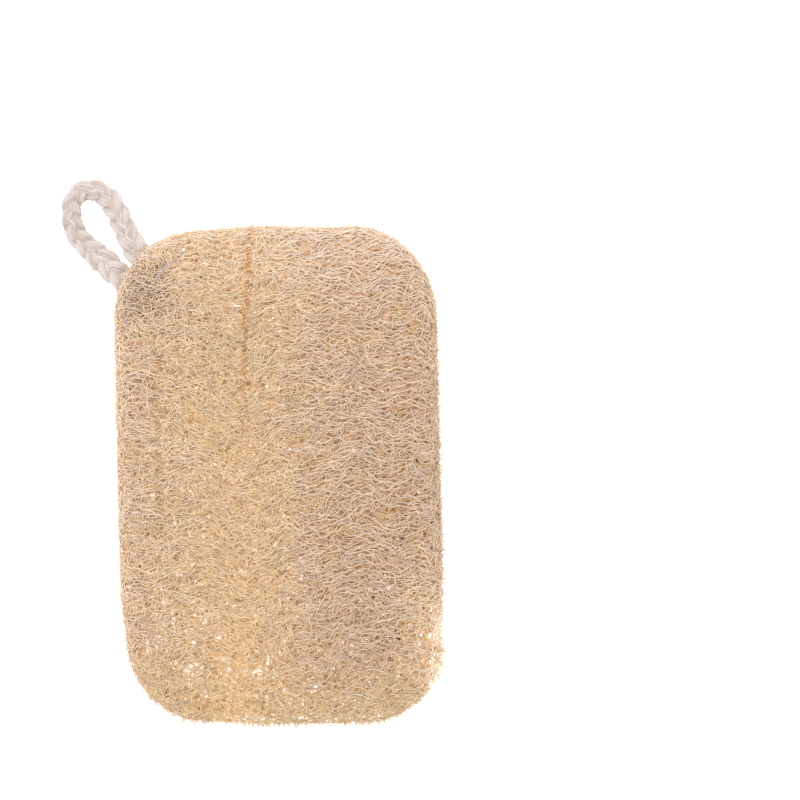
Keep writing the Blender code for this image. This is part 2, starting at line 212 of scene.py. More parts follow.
# The hanging loop: a flat plait of three strands of undyed cotton, each a bundle of soft yarns. It is
# bent into a loop, and both of its ends run into the pad's corner, where the seam holds them.

# From here on, sizes are in millimetres and places are millimetres from the pad's middle. What is
# multiplied by MM, and what stands in a material's nodes, is in metres.
CORD_BURIED = 16.0
CORD_LOW = 3.3
CORD_SINKS_AFTER, CORD_SINKS_OVER = 3, 17
CORD_ENTRY_A = (-42.3, 70.0)
CORD_ENTRY_B = (-48.3, 62.9)
CORD_LOOP = (
    (-44.6, 74.0), (-46.4, 77.8), (-48.1, 81.6), (-49.9, 85.2), (-52.6, 88.4), (-56.3, 90.1),
    (-60.4, 89.4), (-62.8, 86.2), (-63.2, 82.1), (-62.5, 78.3), (-60.5, 74.7), (-57.6, 71.7),
    (-54.5, 68.9), (-51.4, 66.1),
)
PAD_HALF_THICKNESS = 7.0
SEAM_START = np.array([-28.4, 70.8])
SEAM_END = np.array([-47.2, 47.6])

# Where the plait is fuller or thinner: by how much, how far along the cord, and over what reach.
PLAIT_FULLNESS = 1.06
CORD_SPREADS = ((0.27, 16, 9), (0.12, 34, 7), (-0.06, 48, 8), (0.30, 76, 10))
PLAIT_PERIOD = 15.6
PLAIT_SWING = 1.55
PLAIT_RISE = 0.80
STRAND_HALF_WIDTH = 1.28
STRAND_HALF_HEIGHT = 0.86
CORE_SHARE = 0.88
YARNS_ROUND_STRAND = 14
YARN_RADIUS = 0.30
YARN_STEP = 0.55
YARN_TWIST = 0.35
YARN_STRAY = 0.03
YARN_WANDER, WANDER_LENGTH = 0.05, 2.3
COTTON_SHADED = (0.575, 0.49, 0.435, 1)
COTTON_LIT = (0.70, 0.625, 0.58, 1)


def smooth_line(knots, steps=24):
    """Points along the smooth curve through the knots."""
    ends = np.vstack([2 * knots[0] - knots[1], knots, 2 * knots[-1] - knots[-2]])
    a, b, c, d = ends[:-3, None], ends[1:-2, None], ends[2:-1, None], ends[3:, None]
    t = (np.arange(steps) / steps)[None, :, None]
    line = 0.5 * (2 * b + (c - a) * t + (2 * a - 5 * b + 4 * c - d) * t**2 + (3 * b - a - 3 * c + d) * t**3)
    return np.vstack([line.reshape(-1, knots.shape[1]), knots[-1:]])


def evenly(line, step):
    """The line again with its points that far apart, and their distances along it."""
    along = np.concatenate([[0], np.cumsum(np.linalg.norm(np.diff(line, axis=0), axis=1))])
    wanted = np.linspace(0, along[-1], round(along[-1] / step) + 1)
    return np.stack([np.interp(wanted, along, line[:, i]) for i in range(line.shape[1])], axis=1), wanted


def cord_route(step):
    """The cord's middle line: buried end, round the loop, and in to the other end."""
    along_seam = (SEAM_END - SEAM_START) / np.linalg.norm(SEAM_END - SEAM_START)
    into_pad = np.array([-along_seam[1], along_seam[0]])
    entries = np.array([CORD_ENTRY_A, CORD_ENTRY_B])
    ends = entries + into_pad * CORD_BURIED
    halfway = entries + into_pad * CORD_BURIED / 2
    plan = np.vstack([ends[0], halfway[0], entries[0], CORD_LOOP, entries[1], halfway[1], ends[1]])
    way_out = (plan - entries.mean(axis=0)) @ -into_pad
    share = np.clip((way_out - CORD_SINKS_AFTER) / CORD_SINKS_OVER, 0, 1)
    height = PAD_HALF_THICKNESS + (CORD_LOW - PAD_HALF_THICKNESS) * share**2 * (3 - 2 * share)
    return evenly(smooth_line(np.column_stack([plan, height])), step)


def normalised(vectors):
    return vectors / np.maximum(np.linalg.norm(vectors, axis=-1, keepdims=True), 1e-9)


def mesh_of_tubes(name, lines, radii, sides, tones, material, rolls=None):
    """One mesh of closed tubes, with a tone for each tube and the roll of its cross-section.

    lines are the tubes' middle lines, of shape (tubes, points, 3), and radii has shape (tubes, points).
    """
    tubes, points = lines.shape[:2]
    forward = normalised(np.gradient(lines, axis=1))
    up = np.broadcast_to(np.array([0.0, 0.0, 1.0]), forward.shape)
    steep = np.abs(forward[..., 2:3]) > 0.9
    up = np.where(steep, np.array([0.0, 1.0, 0.0]), up)
    aside = normalised(np.cross(forward, up))
    up = np.cross(aside, forward)
    turns = np.arange(sides) * 2 * math.pi / sides
    turns = turns[None, :] + (np.zeros(tubes) if rolls is None else rolls)[:, None]
    out_aside = aside[:, :, None] * np.cos(turns)[:, None, :, None]
    out_up = up[:, :, None] * np.sin(turns)[:, None, :, None]
    corners = (lines[:, :, None] + radii[..., None, None] * (out_aside + out_up)).reshape(-1, 3) * MM
    first = np.arange(tubes)[:, None, None] * points * sides
    row = np.arange(points - 1)[None, :, None] * sides
    this = np.arange(sides)[None, None, :]
    after = (this + 1) % sides
    walls = np.stack([
        first + row + this, first + row + after, first + row + sides + after, first + row + sides + this,
    ], axis=-1).reshape(-1, 4)
    end = np.arange(sides)
    caps = np.vstack([first[:, 0] + end[::-1], first[:, 0] + (points - 1) * sides + end])
    loops = np.concatenate([walls.ravel(), caps.ravel()]).astype(np.int32)
    sizes = np.concatenate([np.full(len(walls), 4), np.full(len(caps), sides)])
    starts = np.concatenate([[0], np.cumsum(sizes)[:-1]]).astype(np.int32)
    mesh = bpy.data.meshes.new(name)
    mesh.vertices.add(len(corners))
    mesh.vertices.foreach_set("co", corners.ravel().astype(np.float32))
    mesh.loops.add(len(loops))
    mesh.loops.foreach_set("vertex_index", loops)
    mesh.polygons.add(len(sizes))
    mesh.polygons.foreach_set("loop_start", starts)
    mesh.update(calc_edges=True)
    tone = mesh.attributes.new("tone", "FLOAT", "POINT")
    tone.data.foreach_set("value", np.repeat(tones, points * sides).astype(np.float32))
    mesh.shade_smooth()
    mesh.validate()
    mesh.materials.append(material)
    piece = bpy.data.objects.new(name, mesh)
    bpy.context.scene.collection.objects.link(piece)
    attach(piece, "root")
    return piece


rng = np.random.default_rng(seed=41)
route, route_along = cord_route(YARN_STEP)
route_forward = normalised(np.gradient(route, axis=0))
route_side = normalised(np.cross(route_forward, np.array([0.0, 0.0, 1.0])))
route_up = np.cross(route_side, route_forward)

spread = PLAIT_FULLNESS + sum(
    more * np.exp(-(((route_along - place) / reach) ** 2)) for more, place, reach in CORD_SPREADS)
yarns, yarn_tones = [], []
for strand in range(3):
    phase = 2 * math.pi * (route_along / PLAIT_PERIOD + strand / 3)
    swing = PLAIT_SWING * spread * np.sin(phase)
    rise = PLAIT_RISE * np.sin(2 * phase)
    middle = route + route_side * swing[:, None] + route_up * rise[:, None]
    strand_forward = normalised(np.gradient(middle, axis=0))
    lean = np.sum(route_up * strand_forward, axis=1, keepdims=True)
    strand_up = normalised(route_up - strand_forward * lean)
    strand_side = np.cross(strand_forward, strand_up)
    for yarn in range(YARNS_ROUND_STRAND + 1):
        turn = 2 * math.pi * yarn / YARNS_ROUND_STRAND + YARN_TWIST * np.sin(phase + strand)
        core = yarn == YARNS_ROUND_STRAND
        wide = 0 if core else STRAND_HALF_WIDTH * spread + rng.normal(0, YARN_STRAY)
        high = 0 if core else STRAND_HALF_HEIGHT + rng.normal(0, YARN_STRAY)
        wander = YARN_WANDER * np.sin(route_along / WANDER_LENGTH + rng.uniform(0, 6))
        across = wide * np.cos(turn) + wander
        yarns.append(middle + strand_side * across[:, None] + strand_up * (high * np.sin(turn))[:, None])
        yarn_tones.append(rng.uniform(0, 1))
yarns = np.array(yarns)
yarn_pulse = np.sin(route_along[None, :] * 2.1 + np.arange(len(yarns))[:, None])
yarn_radii = YARN_RADIUS * spread * (1 + 0.05 * yarn_pulse)
yarn_radii[YARNS_ROUND_STRAND::YARNS_ROUND_STRAND + 1] = CORE_SHARE * STRAND_HALF_HEIGHT

# The cotton glows faintly: painted light that lifts the shade between its yarns.
cotton, cotton_shader, cloth = new_finish(
    "cotton_braid", roughness=0.92, Sheen_Weight=0.35, Sheen_Roughness=0.5, Specular_IOR_Level=0.25,
    Emission_Strength=0.05, Emission_Color=(1.0, 0.80, 0.68, 1))
cloth_place = cloth.place()
shade = (cloth.tone() * 0.5 + cloth_place.noise(260.0, detail=4.0) * 0.5).ramp(0.25, 0.8)
wear(cotton_shader, "Base Color", shade.blend(COTTON_SHADED, COTTON_LIT))
fluff = {"Strength": 0.5, "Distance": 0.0002, "Height": cloth_place.noise(2600.0, detail=3.0)}
wear(cotton_shader, "Normal", cloth.node("ShaderNodeBump", {}, fluff))

hanging_cord = mesh_of_tubes(
    "braided_cord", yarns, yarn_radii, sides=6, tones=np.array(yarn_tones), material=cotton)
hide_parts("hanging_cord")

LINT_HAIRS = 1700
LINT_FREE_ENDS = 40
LINT_RADII = [0.07, 0.055, 0.03]
LINT_SHORTEST, LINT_LONGEST = 0.5, 1.3
LINT_RISE = 1.3
LINT_SPRAY = 0.6
LINT_BEND = 0.12
lint_at = rng.integers(LINT_FREE_ENDS, len(route) - LINT_FREE_ENDS, LINT_HAIRS)
lint_turn = rng.uniform(0, 2 * math.pi, LINT_HAIRS)
flat_out = (PLAIT_SWING + STRAND_HALF_WIDTH) * spread[lint_at]
lint_out = route_side[lint_at] * np.cos(lint_turn)[:, None] + route_up[lint_at] * np.sin(lint_turn)[:, None]
lint_root = route[lint_at] + route_side[lint_at] * (flat_out * np.cos(lint_turn))[:, None]
lint_root = lint_root + route_up[lint_at] * (LINT_RISE * np.sin(lint_turn))[:, None]
lint_way = normalised(lint_out + rng.normal(0, LINT_SPRAY, (LINT_HAIRS, 3)))
lint_length = rng.uniform(LINT_SHORTEST, LINT_LONGEST, (LINT_HAIRS, 1, 1))
lint_reach = np.array([0.0, 0.5, 1.0])[None, :, None] * lint_length
lint_lines = lint_root[:, None] + lint_way[:, None] * lint_reach
lint_lines[:, 2] += rng.normal(0, LINT_BEND, (LINT_HAIRS, 3))
lint_hairs = mesh_of_tubes(
    "cord_lint", lint_lines, np.tile(LINT_RADII, (LINT_HAIRS, 1)), sides=3, tones=rng.random(LINT_HAIRS),
    material=cotton)
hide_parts("hanging_cord")


# The pad: the fibre net of one flattened, trimmed loofah gourd. Its faces are dense mats of wavy fibres
# that meet in long eyes, over coarser fibres inside. Fibres turn round the rim from one face to the other.

FRONT, BACK = 1, -1
HALF_X, HALF_Y = 50.25, 77.5
TOP_CORNER_RADII = (27.0, 28.0)
BOTTOM_CORNER_RADII = (30.0, 24.0)
RIM_REACH = 6.0
RIM_SQUARENESS = 2.7

# The plan is the pad's face rolled out flat with its rim, which is RIM_ARC wide from face to mid-height.
RIM_ARC = 10.6
PLAN_X, PLAN_Y = HALF_X - RIM_REACH + RIM_ARC, HALF_Y - RIM_REACH + RIM_ARC
PLAN_MARGIN = 30

# Where the outline is drawn in: by what share of the half width or height, where, and over what reach.
SIDE_BOW, END_BOW = 0.014, 0.010
SIDES_DRAWN_IN = ((0.026, -50, 9),)
TOP_DRAWN_IN = ((0.012, -26, 14), (0.012, 17, 11))
BOTTOM_DRAWN_IN = ((0.016, -20, 9),)
SEAM_DIP = 1.7
SEAM_DIP_WIDTH = 3.2
FOLD_X, FOLD_Y, FOLD_LEAN = -10.2, 31, 0.068
FOLD_DEPTH = 1.9
FOLD_WIDTH = 0.60

net_rng = np.random.default_rng(seed=5)


def ripples(scale, count=9):
    """A smooth random field over the pad, about -1 to 1, with features about scale millimetres wide."""
    ways = net_rng.uniform(0, 2 * math.pi, count)
    rates = 2 * math.pi / (scale * net_rng.uniform(1.2, 2.8, count))
    phases = net_rng.uniform(0, 2 * math.pi, count)

    def field(x, y):
        total = 0.0
        for way, rate, phase in zip(ways, rates, phases):
            total = total + np.sin(rate * (x * math.cos(way) + y * math.sin(way)) + phase)
        return total * math.sqrt(2 / count) * 0.7
    return field


def bump(x, middle, width):
    """A zone: 1 at its middle and fading out over its width, so bump(x, 28, 17) lies 28 mm to the right."""
    return np.exp(-(((x - middle) / width) ** 2))


def lobes(x, y):
    """The front's slow swell, as on the solid."""
    hollow = 0.9 * bump(x, -13, 9) * np.where(y > 0, 1, bump(y, 0, 60))
    ripple = 0.25 * np.sin(y / 9.0 + 1.3 * np.sin(x / 14.0))
    return 0.9 * bump(x, 27, 15) + 0.5 * bump(x, -32, 13) - hollow + ripple


def fold(x, y):
    """How deep the fold between the two lobes is pressed in: deep at the top and fading downwards."""
    line = FOLD_X + FOLD_LEAN * (y - FOLD_Y) + 0.35 * np.sin(0.9 * y) + 0.25 * np.sin(2.1 * y + 1)
    upper = np.clip((y - 20) / 22, 0, 1) + 0.25 * bump(y, 20, 14)
    uneven = 0.75 + 0.25 * np.sin(0.7 * y + np.sin(1.7 * y))
    return FOLD_DEPTH * (upper * uneven) * bump(x, line, FOLD_WIDTH)


def seam_press(x, y):
    """1 on the line of the seam, falling off beside it."""
    along = SEAM_END - SEAM_START
    past_x, past_y = x - SEAM_START[0], y - SEAM_START[1]
    share = np.clip((past_x * along[0] + past_y * along[1]) / (along @ along), 0, 1)
    off = np.hypot(past_x - share * along[0], past_y - share * along[1])
    return bump(off, 0, SEAM_DIP_WIDTH)


def unrolled(x, y):
    """Each plan point's nearest point on the flat face, the way out from there, and how far past it is."""
    top, bottom = (np.where(x > 0, radii[1], radii[0]) for radii in (TOP_CORNER_RADII, BOTTOM_CORNER_RADII))
    radius = np.where(y > 0, top, bottom)
    core_x = np.clip(x, radius - HALF_X, HALF_X - radius)
    core_y = np.clip(y, radius - HALF_Y, HALF_Y - radius)
    reach = np.hypot(x - core_x, y - core_y)
    way_x, way_y = (x - core_x) / np.maximum(reach, 1e-9), (y - core_y) / np.maximum(reach, 1e-9)
    flat = radius - RIM_REACH
    inner = np.minimum(reach, flat)
    return core_x + way_x * inner, core_y + way_y * inner, way_x, way_y, reach - flat


def drawn_in(along, spots):
    return sum(share * bump(along, middle, width) for share, middle, width in spots)


def on_pad(x, y, depth, side, press=1.0):
    """Places in space of plan points, that deep below the face. Past the rim they turn to the other face.

    press is how far a fibre follows the fold: at 0 it bridges it.
    """
    face_x, face_y, way_x, way_y, past = unrolled(x, y)
    beyond = past > RIM_ARC
    past = np.where(beyond, 2 * RIM_ARC - past, past)
    side = np.where(beyond, -side, side)
    turn = np.clip(past / RIM_ARC, 0, 1) * math.pi / 2
    power = 2 / RIM_SQUARENESS
    out = (RIM_REACH - depth) * np.sin(turn) ** power
    rise_share = np.maximum(np.cos(turn), 0) ** power
    place_x, place_y = face_x + way_x * out, face_y + way_y * out
    side_in = SIDE_BOW * (place_y / HALF_Y) ** 4 + drawn_in(place_y, SIDES_DRAWN_IN)
    top_in, bottom_in = drawn_in(place_x, TOP_DRAWN_IN), drawn_in(place_x, BOTTOM_DRAWN_IN)
    end_in = END_BOW * (place_x / HALF_X) ** 4 + np.where(place_y > 0, top_in, bottom_in)
    place_x, place_y = place_x * (1 - side_in), place_y * (1 - end_in)
    rise = (PAD_HALF_THICKNESS - depth - SEAM_DIP * seam_press(place_x, place_y)) * rise_share
    swell = lobes(place_x, place_y) - press * fold(place_x, place_y)
    rise = rise + np.where(side > 0, swell * rise_share, 0)
    return np.stack([place_x, place_y, PAD_HALF_THICKNESS + side * rise], axis=-1)


broad_warp, middle_warp, fine_warp = ripples(26), ripples(9), ripples(4.2)
side_warp, eye_phase = ripples(11), ripples(14)
ripples(7)  # drawn and left unused, so that every later draw keeps its place


def ridge_zone(x, y):
    """1 over the raised right-hand lobe, where the eyes are long and open."""
    return bump(x, 28, 17) * (0.45 + 0.55 * bump(y, -12, 48))


def calm_strip(x):
    """1 down the strip left of the middle, where the fibres are finer and wave less."""
    return bump(x, -14, 14)


def wild_zone(x, y):
    """1 where the fibres run every way and not just across: mostly the sides and the loop's corner."""
    corner = bump(x, -40, 11) * bump(y, 56, 18)
    foot = 0.8 * np.clip((-28 - y) / 36, 0, 1) * (1 - 0.4 * ridge_zone(x, y))
    middle = 0.45 * bump(x, -10, 16)
    return np.clip(bump(x, -50, 12) + corner + foot + middle + 0.9 * bump(x, 53, 11), 0, 1)


def frayed(x, y):
    """How frayed the rim is: most at the lower right, less along the foot, and 0 inside the rim."""
    rim = np.clip((unrolled(x, y)[-1] - 2.5) / 4.5, 0, 1)
    lower_right = bump(x, 56, 18) * bump(y, -55, 19)
    foot = 0.55 * bump(y, -86, 14)
    lower_left = 0.3 * bump(x, -54, 10) * bump(y, -52, 20)
    return rim * np.clip(lower_right + foot + lower_left + 0.12, 0, 1)


def bent(x, y, shift=0.0):
    """The plan bent as the gourd's fibres run: arched over the right-hand lobe, drawn down at the fold."""
    lobe = ridge_zone(x, y)
    arch = 3.2 * bump(x, 26, 7.5) * lobe * (0.35 + 0.65 * bump(y, 0, 40)) - 3.0 * bump(x, FOLD_X, 7)
    calm = 0.5 * lobe + 0.45 * calm_strip(x)
    wave = 1.7 * broad_warp(x + shift, y) + 1.3 * middle_warp(x, y - shift) * (1 - calm)
    wave = wave + 0.5 * fine_warp(x - shift, y + shift)
    return x + 1.1 * side_warp(x, y + shift), y + arch + wave


EYE_FIBRE_POINTS = 9
EYE_FIBRE_STEP = 1.15
EYE_FIBRE_SPACING = 0.80
EYE_OPENING = 0.52


def eyes(spacing, wavelength, shift, turn=0.0):
    """Wavy fibres side by side that part and meet in long eyes, as plan points (fibres, points)."""
    rows = np.arange(-PLAN_Y - PLAN_MARGIN, PLAN_Y + PLAN_MARGIN, spacing)
    reach = PLAN_X + PLAN_MARGIN
    length = EYE_FIBRE_STEP * (EYE_FIBRE_POINTS - 1)
    per_row = int(2 * reach / (EYE_FIBRE_SPACING * length))
    row = np.repeat(np.arange(len(rows)), per_row)
    in_row = np.tile(np.arange(per_row), len(rows))
    start = in_row * EYE_FIBRE_SPACING * length - reach + net_rng.uniform(-6, 6, len(row))
    step = EYE_FIBRE_STEP * net_rng.uniform(0.72, 1.2, len(row))
    x = start[:, None] + step[:, None] * np.arange(EYE_FIBRE_POINTS)[None]
    y = rows[row][:, None] + np.zeros(EYE_FIBRE_POINTS)
    phase = 2 * math.pi * x / wavelength + math.pi * row[:, None] + 2.6 * eye_phase(x + shift, y * 1.6)
    lift = net_rng.normal(0, 0.10 * spacing, len(row))[:, None]
    slant = net_rng.normal(0, 0.15, len(row))[:, None] * (x - x.mean(axis=1, keepdims=True))
    y = y + EYE_OPENING * spacing * np.sin(phase) + lift + slant
    x, y = x * math.cos(turn) - y * math.sin(turn), x * math.sin(turn) + y * math.cos(turn)
    return bent(x, y, shift)


def tangle(count, points, step, spread, curl, shift):
    """Loose curly fibres that start anywhere, as plan points (fibres, points)."""
    tries = 3 * count
    x = net_rng.uniform(-PLAN_X - 2, PLAN_X + 2, tries)
    y = net_rng.uniform(-PLAN_Y - 2, PLAN_Y + 2, tries)
    chosen = np.nonzero(net_rng.random(tries) < 0.5 + 0.5 * wild_zone(x, y))[0][:count]
    x, y = x[chosen], y[chosen]
    heading = net_rng.normal(0, spread, count) * (1 + 1.3 * wild_zone(x, y))
    heading = heading + np.where(net_rng.random(count) < 0.5, 0, math.pi)
    pitch = step * net_rng.uniform(0.75, 1.25, count)
    rate, phase = net_rng.uniform(0.35, 0.95, count), net_rng.uniform(0, 2 * math.pi, count)
    bow = net_rng.normal(0, 0.05, count)
    xs, ys = [x], [y]
    for i in range(points - 1):
        angle = heading + curl * np.sin(rate * i + phase) + bow * i
        angle = angle + 0.35 * middle_warp(xs[-1] + shift, ys[-1])
        xs.append(xs[-1] + pitch * np.cos(angle))
        ys.append(ys[-1] + pitch * np.sin(angle))
    return np.stack(xs, axis=1), np.stack(ys, axis=1)


# Holes are lenses laid across the pad. For each: how far it is right of and above the pad's middle, and
# half its length and height.
TORN_HOLES = [
    (45.8, -60.1, 1.2, 1.2), (47.4, -49.7, 0.7, 0.8), (45.4, -49.4, 0.4, 0.6), (46.9, -43.5, 0.7, 0.8),
    (48.8, -48.2, 0.5, 0.6), (41.8, -69.3, 1.2, 0.6), (33.5, -42.2, 0.8, 0.6), (36.9, -64.7, 0.6, 0.6),
    (9.0, -63.8, 0.5, 0.7), (-34.1, -57.9, 0.6, 0.6), (-3.4, -51.8, 0.6, 0.5), (0.4, -51.1, 0.6, 0.4),
    (0.6, -39.5, 0.8, 0.3), (-15.8, -53.6, 0.5, 0.5), (1.0, -12.7, 0.7, 0.4), (47.6, -51.0, 0.7, 0.8),
    (46.7, -55.0, 0.6, 0.9), (44.5, -62.9, 0.5, 0.5), (46.5, -63.4, 0.6, 0.6), (43.9, -66.3, 0.7, 0.5),
]
TEAR_EDGE = 0.9
BRIDGE_TEARS = 0.24
PINHOLES = 840
PITS = 470

# A hole pushes fibres aside up to PUSH_REACH times its size away.
PUSH_REACH = 1.9
PUSH_SLOPE = 0.474


def pinholes():
    """The see-through holes: many near the lower end, in a streak up from it and at the lower right rim."""
    places = []
    while len(places) < PINHOLES:
        x, y = net_rng.uniform(-47, 50), net_rng.uniform(-76, 72)
        off_lobe = 1 - 0.8 * bump(x, 27, 12) * bump(y, -50, 18)
        low_end = bump(y, -70, 28) * (0.45 + 0.55 * bump(x, -18, 34)) * off_lobe
        streak = bump(x, -15, 2.2) * bump(y, -48, 24)
        middle = 0.03 * bump(x, -8, 16) * bump(y, -32, 24)
        right_rim = bump(x, 48, 3.5) * bump(y, -53, 15)
        if net_rng.random() < 0.006 + max(low_end, streak, middle, right_rim):
            short = 0.12 + 0.34 * net_rng.random() ** 2 + 0.30 * right_rim * net_rng.random()
            places.append((x, y, short * net_rng.uniform(1.2, 2.6), short))
    return places


def pits():
    """Eyes in the face that open on the amber fibres below, mostly on the right-hand lobe."""
    places = []
    while len(places) < PITS:
        x, y = net_rng.uniform(-48, 48), net_rng.uniform(-75, 75)
        seam_zone = bump(x, -41, 7) * bump(y, 56, 7)
        beside_fold = bump(x, -3, 5) * bump(y, 52, 20)
        if net_rng.random() < max(0.16, ridge_zone(x, y), seam_zone, beside_fold):
            short = net_rng.uniform(0.15, 0.42) + 0.18 * seam_zone
            places.append((x, y, short * net_rng.uniform(1.8, 3.6), short))
    return places


see_through = pinholes() + TORN_HOLES
shallow_eyes = pits()
deep_eyes = shallow_eyes[::4] + see_through
open_eyes = shallow_eyes + see_through


def parted(x, y, holes, room):
    """Pushes fibres aside round each hole, and leaves that much more room beside it."""
    for hole_x, hole_y, long, short in holes:
        off_x, off_y = (x - hole_x) / (long + room), (y - hole_y) / (short + room)
        far = np.sqrt(off_x**2 + off_y**2)
        push = np.where(far < PUSH_REACH, (1.0 + PUSH_SLOPE * far) / np.maximum(far, 0.05), 1.0)
        y = hole_y + (y - hole_y) * push
        x = hole_x + (x - hole_x) * (1 + 0.35 * (push - 1))
    return x, y


def clear_of_tears(x, y):
    """Whether each fibre runs clear of the torn holes, where a few still bridge them."""
    between_x = np.concatenate([x, (x[:, 1:] + x[:, :-1]) / 2], axis=1)
    between_y = np.concatenate([y, (y[:, 1:] + y[:, :-1]) / 2], axis=1)
    clear = np.ones(len(x), bool)
    for hole_x, hole_y, long, short in TORN_HOLES:
        far = np.hypot((between_x - hole_x) / long, (between_y - hole_y) / short)
        clear &= (far.min(axis=1) > TEAR_EDGE) | (net_rng.random(len(x)) < BRIDGE_TEARS)
    return clear


MIDDLE_PAST_RIM, END_PAST_RIM = 0.5, 9


def on_plan(x, y):
    """Whether each line's middle lies on its own face or a little past the rim."""
    past = unrolled(x, y)[-1]
    middle_past, most_past = past[:, x.shape[1] // 2], past.max(axis=1)
    return (middle_past < RIM_ARC + MIDDLE_PAST_RIM) & (most_past < RIM_ARC + END_PAST_RIM)


MOST_TRIANGLES = 190_000
FIBRE_SIDES = 3
ENDS_SINK = 0.7
DEPTH_STRAY = 0.16
BRIDGE_FOLD = 0.22


def lay(name, x, y, depth, radius, side, material, keep, weave=0.22, holes=()):
    """Lays plan lines on the pad as tapered fibres that rise and sink and end below their layer."""
    inside = on_plan(x, y) & keep(x.mean(axis=1), y.mean(axis=1))
    inside &= net_rng.random(len(x)) > 0.8 * frayed(x.mean(axis=1), y.mean(axis=1))
    x, y = x[inside], y[inside]
    x, y = parted(x, y, holes, 0.8 * radius)
    clear = clear_of_tears(x, y)
    x, y = x[clear], y[clear]
    fibres, points = x.shape
    t = np.linspace(0, 1, points)[None]
    deep = depth + net_rng.normal(0, DEPTH_STRAY, fibres)[:, None]
    waves = t * net_rng.uniform(1, 2.6, fibres)[:, None] + net_rng.random((fibres, 1))
    deep = deep + weave * np.sin(2 * math.pi * waves)
    deep = deep + ENDS_SINK * np.maximum(bump(t, 0, 0.09), bump(t, 1, 0.09))
    lines = on_pad(x, y, np.maximum(deep, radius), side, net_rng.random((fibres, 1)) > BRIDGE_FOLD)
    taper = 1 - 0.45 * np.maximum(bump(t, 0, 0.08), bump(t, 1, 0.08))
    fine = np.maximum(np.clip((-34 - y.mean(axis=1)) / 36, 0, 1), 0.4 * calm_strip(x.mean(axis=1)))
    girth = (0.88 + 0.12 * ridge_zone(x, y).mean(axis=1)) * (1 - 0.27 * fine)
    girth = girth * net_rng.uniform(0.75, 1.2, fibres)
    radii = radius * girth[:, None] * taper
    tones = net_rng.random(fibres)
    order = np.argsort(-lines[:, points // 2, 1])
    rolls = net_rng.uniform(0, 6, fibres)
    triangles_each = 2 * FIBRE_SIDES * (points - 1) + 2 * (FIBRE_SIDES - 2)
    pieces = math.ceil(fibres * triangles_each / MOST_TRIANGLES)
    for number, share in enumerate(np.array_split(order, pieces)):
        piece = mesh_of_tubes(
            f"{name}_{number + 1}", lines[share], radii[share], FIBRE_SIDES, tones[share], material,
            rolls[share])
        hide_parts("loofah_pad")


STAIN = (3.6 * MM, 22.5 * MM, 14 * MM)
# Where painted shade darkens the gaps round the seam's corner: its place and reach.
SEAM_CORNER_SHADE = (-40.5 * MM, 57.0 * MM, 13 * MM)
SIDE_FOLD_X = -36.7 * MM
PALE_STREAK_X = -15.0 * MM


